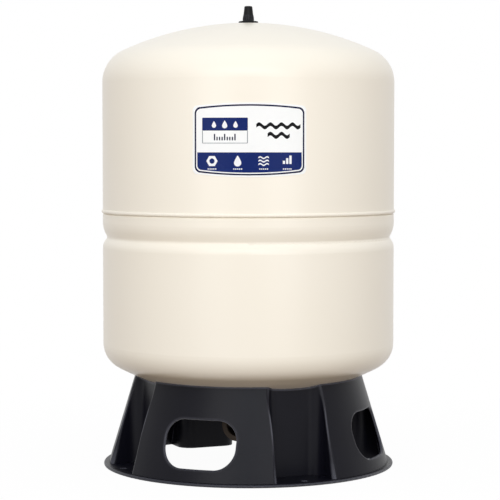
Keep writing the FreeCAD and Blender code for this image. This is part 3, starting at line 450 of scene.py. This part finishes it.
studThread = {
    "pitch": 1.25,      # M8 coarse
    "radius": 3.95,
    "ridge": 0.34,
    "turns": 5.6,
    "count": 4,
    "ring": 122.0,      # of the four studs
    "first": 23.5,      # degrees from the front
    "foot": 81.7,
}
growPiece("studThreads", threads, {
    "Radius": studThread["radius"] * mm, "Pitch": studThread["pitch"] * mm,
    "Turns": studThread["turns"], "Ridge": studThread["ridge"] * mm, "Count": studThread["count"],
    "Ring Radius": studThread["ring"] * mm, "First Angle": math.radians(studThread["first"]),
    "Foot": studThread["foot"] * mm,
}, "tank", "plated_steel")

socketThread = {
    "pitch": 2.309,     # eleven threads to the inch
    "radius": 15.3,
    "ridge": 0.75,
    "turns": 6.6,
    "steps": 64,
    "angle": -21.5,     # of the outlet, in degrees from the front
    "start": 24.5,      # from the tank's axis
    "height": 56.0,
}
outletTurn = math.radians(socketThread["angle"])
growPiece("socketThread", threads, {
    "Radius": socketThread["radius"] * mm, "Pitch": socketThread["pitch"] * mm,
    "Turns": socketThread["turns"], "Ridge": socketThread["ridge"] * mm, "Steps": socketThread["steps"],
    "Ring Radius": socketThread["start"] * mm, "First Angle": outletTurn,
    "Foot": socketThread["height"] * mm, "Tilt": (math.pi / 2, 0.0, outletTurn),
}, "tank", "stainless_steel")

# The valve core's spring, as tall as the plain one that it replaces
coreSpring = {
    "wire": 0.3,
    "mean": 1.25,       # radius of the turns
    "turns": 6.0,
    "steps": 24,
    "sides": 8,
    "travel": 1.0,      # of the pin
}
springFoot, springTop = (corner[2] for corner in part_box("valve_core_spring"))
springWire = coreSpring["wire"] * mm
springRise = springTop - springFoot - springWire
spring = growPiece("coreSpring", threads, {
    "Radius": coreSpring["mean"] * mm, "Pitch": springRise / coreSpring["turns"],
    "Turns": coreSpring["turns"], "Ridge": springWire / 2, "Steps": coreSpring["steps"],
    "Sides": coreSpring["sides"], "Foot": springFoot + springWire / 2,
}, "tank", "spring_steel")
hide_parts("valve_core_spring")
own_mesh(spring)
print("threads cut and spring wound")

weldBead = {
    "radius": 195.0,
    "height": 340.7,
    "halfTall": 2.1,
    "proud": 1.35,
    "pitch": 3.4,       # from ripple to ripple
    "steps": 6,
    "ripple": 0.08,     # share of the bead's girth
    "unevenness": 0.06,
    "seed": 3,
}
growPiece("weldRipples", weldTree(), {
    "Radius": weldBead["radius"] * mm, "Height": weldBead["height"] * mm,
    "Half Tall": weldBead["halfTall"] * mm, "Proud": weldBead["proud"] * mm,
    "Ripples": int(2 * math.pi * weldBead["radius"] / weldBead["pitch"]), "Steps": weldBead["steps"],
    "Ripple": weldBead["ripple"], "Unevenness": weldBead["unevenness"], "Seed": weldBead["seed"],
}, "tank", "cream_paint")

capGrip = {
    "count": 20,
    "radius": 6.98,
    "middle": 598.4,
    "tall": 7.6,
    "wide": 0.95,
    "lean": 6.7,        # degrees, with the cap's taper
}
growPiece("capGrip", gripTree(), {
    "Count": capGrip["count"], "Radius": capGrip["radius"] * mm, "Middle": capGrip["middle"] * mm,
    "Tall": capGrip["tall"] * mm, "Wide": capGrip["wide"] * mm, "Lean": math.radians(capGrip["lean"]),
}, "cap", "cap_plastic")
print("weld and cap ribs made")


# The printed label: fields of ink bent round the vessel, with places as (across, up) from its middle

label = {
    "centre": 434.6,      # height of the label's middle
    "turn": 0.5,          # degrees from the front
    "film": 195.35,       # radius of the film's face
    "ink": 0.05,          # thickness of a printed field
    "lift": 0.015,        # gap under it
    "slice": 3.0,         # widest strip of a bent field
    "outlineHalf": 68.5,  # navy outline, half width at its middle line
    "outlineHigh": 43.0,
    "outlineBow": 3.4,
    "outlineWide": 2.0,
    "corner": 7.0,
    "cornerShrink": 0.6,  # for each millimetre of inset
    "bandTop": -15.4,     # top of the navy band
    "bandGap": 1.4,       # between outline and band
}


def bowedOutline(inset):
    # Rounded oblong with bowed top and bottom, moved inwards by inset
    half = label["outlineHalf"] - inset
    bow = label["outlineBow"]
    small = label["corner"] - inset * label["cornerShrink"]
    reach = half - small
    side = label["outlineHigh"] - inset - bow
    points = []
    cornerSteps = 10
    bowSteps = 24
    for turn, (signX, signY) in enumerate(((1, -1), (1, 1), (-1, 1), (-1, -1))):
        for step in range(cornerSteps + 1):
            angle = math.radians(-90 + 90 * turn + 90 * step / cornerSteps)
            points.append((signX * reach + small * math.cos(angle),
                           signY * (side - small) + small * math.sin(angle)))
        if signX * signY > 0:
            for step in range(1, bowSteps):
                across = signX * reach * (1 - 2 * step / bowSteps)
                rise = bow * (1 - (across / reach) ** 2)
                points.append((across, signY * (side + rise)))
    return points


def clipBelow(points, level):
    # Keeps what a convex outline has below a level
    kept = []
    for (x0, y0), (x1, y1) in zip(points, points[1:] + points[:1]):
        if y0 <= level:
            kept.append((x0, y0))
        if (y0 <= level) != (y1 <= level):
            kept.append((x0 + (x1 - x0) * (level - y0) / (y1 - y0), level))
    return kept


def disc(centre, radius, steps=40):
    # Six steps give a hexagon
    return [(centre[0] + radius * math.cos(2 * math.pi * step / steps),
             centre[1] + radius * math.sin(2 * math.pi * step / steps)) for step in range(steps)]


dropShape = {"tip": 1.9, "pinch": 0.62, "pinchPower": 1.2, "sink": 0.45}  # in radii of its round end


def drop(centre, radius, steps=40):
    # A water drop: round below, drawn to a point above
    points = []
    for step in range(steps):
        angle = 2 * math.pi * step / steps
        up = math.sin(angle)
        narrow = 1 - dropShape["pinch"] * max(up, 0) ** dropShape["pinchPower"]
        stretch = dropShape["tip"] if up > 0 else 1.0
        points.append((centre[0] + radius * math.cos(angle) * narrow,
                       centre[1] + radius * (up * stretch - dropShape["sink"])))
    return points


def wave(centre, reach, swing, thick, turns, steps=60):
    # A band that swings up and down along its length
    upper = []
    lower = []
    for step in range(steps + 1):
        share = step / steps
        across = centre[0] + reach * (share - 0.5)
        up = centre[1] + swing * math.sin(2 * math.pi * turns * share)
        upper.append((across, up + thick / 2))
        lower.append((across, up - thick / 2))
    return lower + upper[::-1]


def oblong(centre, wide, tall, corner, steps=6):
    # Round-cornered
    points = []
    for turn, (signX, signY) in enumerate(((1, -1), (1, 1), (-1, 1), (-1, -1))):
        for step in range(steps + 1):
            angle = math.radians(-90 + 90 * turn + 90 * step / steps)
            points.append((centre[0] + signX * (wide / 2 - corner) + corner * math.cos(angle),
                           centre[1] + signY * (tall / 2 - corner) + corner * math.sin(angle)))
    return points


def inkField(name, outlines, ink, layer=0):
    # Fills the outlines (holes where they nest), slices the field and wraps it on the label
    flat = bpy.data.curves.new(name, "CURVE")
    flat.dimensions = "2D"
    flat.fill_mode = "BOTH"
    for outline in outlines:
        spline = flat.splines.new("POLY")
        spline.points.add(len(outline) - 1)
        for point, (across, up) in zip(spline.points, outline):
            point.co = (across, up, 0, 1)
        spline.use_cyclic_u = True
    holder = bpy.data.objects.new(name, flat)
    bpy.context.collection.objects.link(holder)
    mesh = bpy.data.meshes.new_from_object(holder.evaluated_get(bpy.context.evaluated_depsgraph_get()))
    bpy.data.objects.remove(holder)
    form = bmesh.new()
    form.from_mesh(mesh)
    bmesh.ops.remove_doubles(form, verts=form.verts, dist=1e-5)
    cuts = int(label["outlineHalf"] / label["slice"])
    for step in range(-cuts, cuts + 1):
        everything = form.verts[:] + form.edges[:] + form.faces[:]
        place = (step * label["slice"], 0, 0)
        bmesh.ops.bisect_plane(form, geom=everything, plane_co=place, plane_no=(1, 0, 0))
    bmesh.ops.recalc_face_normals(form, faces=form.faces)
    if form.faces and form.faces[0].normal.z < 0:
        bmesh.ops.reverse_faces(form, faces=form.faces)
    raised = bmesh.ops.extrude_face_region(form, geom=form.faces[:])
    for vert in [item for item in raised["geom"] if isinstance(item, bmesh.types.BMVert)]:
        vert.co.z = label["ink"]
    bmesh.ops.recalc_face_normals(form, faces=form.faces)
    base = label["film"] + label["lift"] + layer * (label["ink"] + label["lift"])
    for vert in form.verts:
        radius = base + vert.co.z
        angle = vert.co.x / label["film"] + math.radians(label["turn"])
        height = label["centre"] + vert.co.y
        vert.co = Vector((radius * math.sin(angle), -radius * math.cos(angle), height)) * mm
    form.to_mesh(mesh)
    form.free()
    piece = bpy.data.objects.new(name, mesh)
    bpy.context.collection.objects.link(piece)
    mesh.materials.clear()
    mesh.materials.append(inks[ink])
    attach(piece, "tank")
    return piece


def printOutlineAndBand():
    halfLine = label["outlineWide"] / 2
    inkField("labelOutline", [bowedOutline(-halfLine), bowedOutline(halfLine)], "deepInk")
    band = bowedOutline(halfLine + label["bandGap"])
    inkField("labelBand", [clipBelow(band, label["bandTop"])], "navyInk")


panel = {
    "across": -30.9,
    "level": 19.5,
    "wide": 57.4,
    "tall": 15.9,
    "corner": 0.8,
    "frameLevel": 3.6,    # of the grey frame under it
    "windowLevel": 3.9,
    "windowWide": 55.6,
    "windowTall": 15.0,
    "drops": {"pitch": 13.5, "level": 19.0, "radius": 3.3, "smaller": 0.5},
    "ticks": {"pitch": 3.2, "wide": 1.7, "corner": 0.3},
    "shortTick": {"level": 1.6, "tall": 4.4},
    "longTick": {"level": 3.4, "tall": 8.0},    # every fourth
}


def printPanel():
    # A navy panel with three water drops, and a framed scale of ticks under it
    across = panel["across"]
    inkField("labelPanel", [
        oblong((across, panel["level"]), panel["wide"], panel["tall"], panel["corner"])], "navyInk")
    inkField("labelPanelFrame", [
        oblong((across, panel["frameLevel"]), panel["wide"], panel["tall"], panel["corner"]),
        oblong((across, panel["windowLevel"]), panel["windowWide"], panel["windowTall"], panel["corner"] / 2),
    ], "greyInk")
    drops = panel["drops"]
    inkField("labelDrops", [
        drop((across + drops["pitch"] * step, drops["level"]), drops["radius"] - drops["smaller"] * abs(step))
        for step in (-1, 0, 1)], "whiteInk", layer=1)
    ticks = panel["ticks"]
    scale = []
    for step in range(-4, 5):
        tick = panel["longTick"] if step % 4 == 0 else panel["shortTick"]
        middle = (across + ticks["pitch"] * step, tick["level"])
        scale.append(oblong(middle, ticks["wide"], tick["tall"], ticks["corner"]))
    inkField("labelScale", scale, "deepInk")


waters = {
    "upper": {"middle": (36.3, 17.3), "long": 56.0, "turns": 4.0},
    "lower": {"middle": (36.3, 5.6), "long": 28.0, "turns": 2.0},
    "swing": 2.1,
    "thick": 4.6,
}


def printWaters():
    # Two lines of water beside the panel
    inkField("labelWaters", [
        wave(line["middle"], line["long"], waters["swing"], waters["thick"], line["turns"])
        for line in (waters["upper"], waters["lower"])], "blackInk")


bandMarks = {
    "level": -26.2,
    "nut": {"across": -47.0, "radius": 7.2, "bore": 3.3},
    "drop": {"across": -14.8, "radius": 4.6},
    "waves": {"across": 17.4, "long": 13.0, "swing": 1.0, "thick": 1.7, "turns": 1.5, "pitch": 4.2},
    "bars": {   # on one foot line, each taller than the last
        "across": 47.1, "wide": 2.9, "tall": 7.2, "rise": 3.2, "pitch": 4.2, "corner": 0.4,
    },
}
dotLine = {"level": -36.0, "pitch": 2.4, "wide": 1.5, "corner": 0.3}


def printBandMarks():
    # Four plain marks on the band, with a dotted line under each
    level = bandMarks["level"]
    nut, water, waves, bars = (bandMarks[kind] for kind in ("nut", "drop", "waves", "bars"))
    nutMiddle = (nut["across"], level)
    marks = {
        nut["across"]: [disc(nutMiddle, nut["radius"], 6), disc(nutMiddle, nut["bore"])],
        water["across"]: [drop((water["across"], level), water["radius"])],
        waves["across"]: [],
        bars["across"]: [],
    }
    for step in (-1, 0, 1):
        middle = (waves["across"], level + waves["pitch"] * step)
        marks[waves["across"]].append(
            wave(middle, waves["long"], waves["swing"], waves["thick"], waves["turns"]))
        middle = (bars["across"] + bars["pitch"] * step, level + bars["rise"] * step / 2)
        marks[bars["across"]].append(
            oblong(middle, bars["wide"], bars["tall"] + bars["rise"] * step, bars["corner"]))
    for number, (across, outlines) in enumerate(marks.items(), 1):
        inkField(f"labelMark{number}", outlines, "whiteInk", layer=1)
        middles = [(across + dotLine["pitch"] * step, dotLine["level"]) for step in (-2, -1, 0, 1, 2)]
        dots = [oblong(middle, dotLine["wide"], dotLine["wide"], dotLine["corner"]) for middle in middles]
        inkField(f"labelDots{number}", dots, "whiteInk", layer=1)


printOutlineAndBand()
printPanel()
printWaters()
printBandMarks()
print("label printed")


# Stage, lights and camera

sweep = {
    "half": 12.0,           # metres
    "bounce": "#968471",    # what the floor throws back up
    "paper": 0.035,         # share of plain paper near the stand, which keeps its shadow
    "paperNear": 0.35,
    "paperFar": 0.8,
}
surround = 0.74             # light from all round
softBoxes = {
    "leftSoftBox": {
        "place": (-1.1, -2.3, 0.95), "target": (0, 0, 0.38), "wide": 1.2, "tall": 1.6,
        "power": 14.8, "tint": (1, 1, 1),
    },
    "rightSoftBox": {
        "place": (1.1, -2.3, 0.75), "target": (0, 0, 0.38), "wide": 1.2, "tall": 1.6,
        "power": 13.5, "tint": (1, 1, 1),
    },
    "highSoftBox": {
        "place": (0.05, -2.2, 1.35), "target": (0, 0, 0.4), "wide": 1.1, "tall": 0.45,
        "power": 8.2, "tint": (0.88, 0.95, 1.0),
    },
}
view = {
    "eye": (0.0022, -2.46, 0.4222),  # metres, at label height
    "pitch": 3.13,                   # degrees down
    "lens": 131.8,
}


def plainRays(tree):
    # 1 for the rays that see the backdrop itself: from the camera, in a reflection, or through glass
    rays = addNode(tree, "ShaderNodeLightPath")
    seen = addNode(tree, "ShaderNodeMath", {
        0: rays.outputs["Is Camera Ray"], 1: rays.outputs["Is Glossy Ray"]}, operation="MAXIMUM")
    return addNode(tree, "ShaderNodeMath", {
        0: seen, 1: rays.outputs["Is Transmission Ray"]}, operation="MAXIMUM")


def makeStage():
    half = sweep["half"]
    mesh = bpy.data.meshes.new("studioFloor")
    corners = [(-half, -half, 0), (half, -half, 0), (half, half, 0), (-half, half, 0)]
    mesh.from_pydata(corners, [], [(0, 1, 2, 3)])
    floor = bpy.data.objects.new("studioFloor", mesh)
    bpy.context.collection.objects.link(floor)
    # Paper sweep: shown as plain white, with a faint soft shadow round the stand
    material, tree, place = newMaterial("whiteSweep")
    paper = addNode(tree, "ShaderNodeBsdfDiffuse", {"Color": white})
    glow = addNode(tree, "ShaderNodeEmission", {"Color": white, "Strength": 1.0})
    reach = addNode(tree, "ShaderNodeVectorMath", {0: place}, operation="LENGTH")
    share = addNode(tree, "ShaderNodeMapRange", {
        "Value": reach.outputs["Value"], "From Min": sweep["paperNear"], "From Max": sweep["paperFar"],
        "To Min": sweep["paper"], "To Max": 0.0})
    bright = addNode(tree, "ShaderNodeMixShader", {0: share, 1: glow, 2: paper})
    dim = addNode(tree, "ShaderNodeBsdfDiffuse", {"Color": hexColour(sweep["bounce"])})
    both = addNode(tree, "ShaderNodeMixShader", {0: plainRays(tree), 1: dim, 2: bright})
    addNode(tree, "ShaderNodeOutputMaterial", {"Surface": both})
    mesh.materials.append(material)


def makeWorld():
    world = bpy.data.worlds.new("studio")
    bpy.context.scene.world = world
    world.use_nodes = True
    tree = world.node_tree
    tree.nodes.clear()
    light = addNode(tree, "ShaderNodeBackground", {"Color": white, "Strength": surround})
    plain = addNode(tree, "ShaderNodeBackground", {"Color": white, "Strength": 1.0})
    both = addNode(tree, "ShaderNodeMixShader", {0: plainRays(tree), 1: light, 2: plain})
    addNode(tree, "ShaderNodeOutputWorld", {"Surface": both})


def hangSoftBox(name):
    given = softBoxes[name]
    lamp = bpy.data.lights.new(name, "AREA")
    lamp.shape = "RECTANGLE"
    lamp.size = given["wide"]
    lamp.size_y = given["tall"]
    lamp.energy = given["power"]
    lamp.color = given["tint"]
    holder = bpy.data.objects.new(name, lamp)
    bpy.context.collection.objects.link(holder)
    holder.visible_camera = False
    holder.location = given["place"]
    aim = Vector(given["target"]) - Vector(given["place"])
    holder.rotation_euler = aim.to_track_quat("-Z", "Y").to_euler()


def makeCamera():
    camera = bpy.data.cameras.new("photoView")
    camera.lens = view["lens"]
    camera.sensor_width = 36.0
    camera.sensor_fit = "HORIZONTAL"
    camera.clip_end = 100
    holder = bpy.data.objects.new("photoView", camera)
    bpy.context.collection.objects.link(holder)
    holder.location = view["eye"]
    holder.rotation_euler = (math.radians(90 - view["pitch"]), 0, 0)
    bpy.context.scene.camera = holder


makeStage()
makeWorld()
for boxName in softBoxes:
    hangSoftBox(boxName)
makeCamera()
bpy.context.scene.view_settings.view_transform = "Standard"
print("stage, lights and camera set")
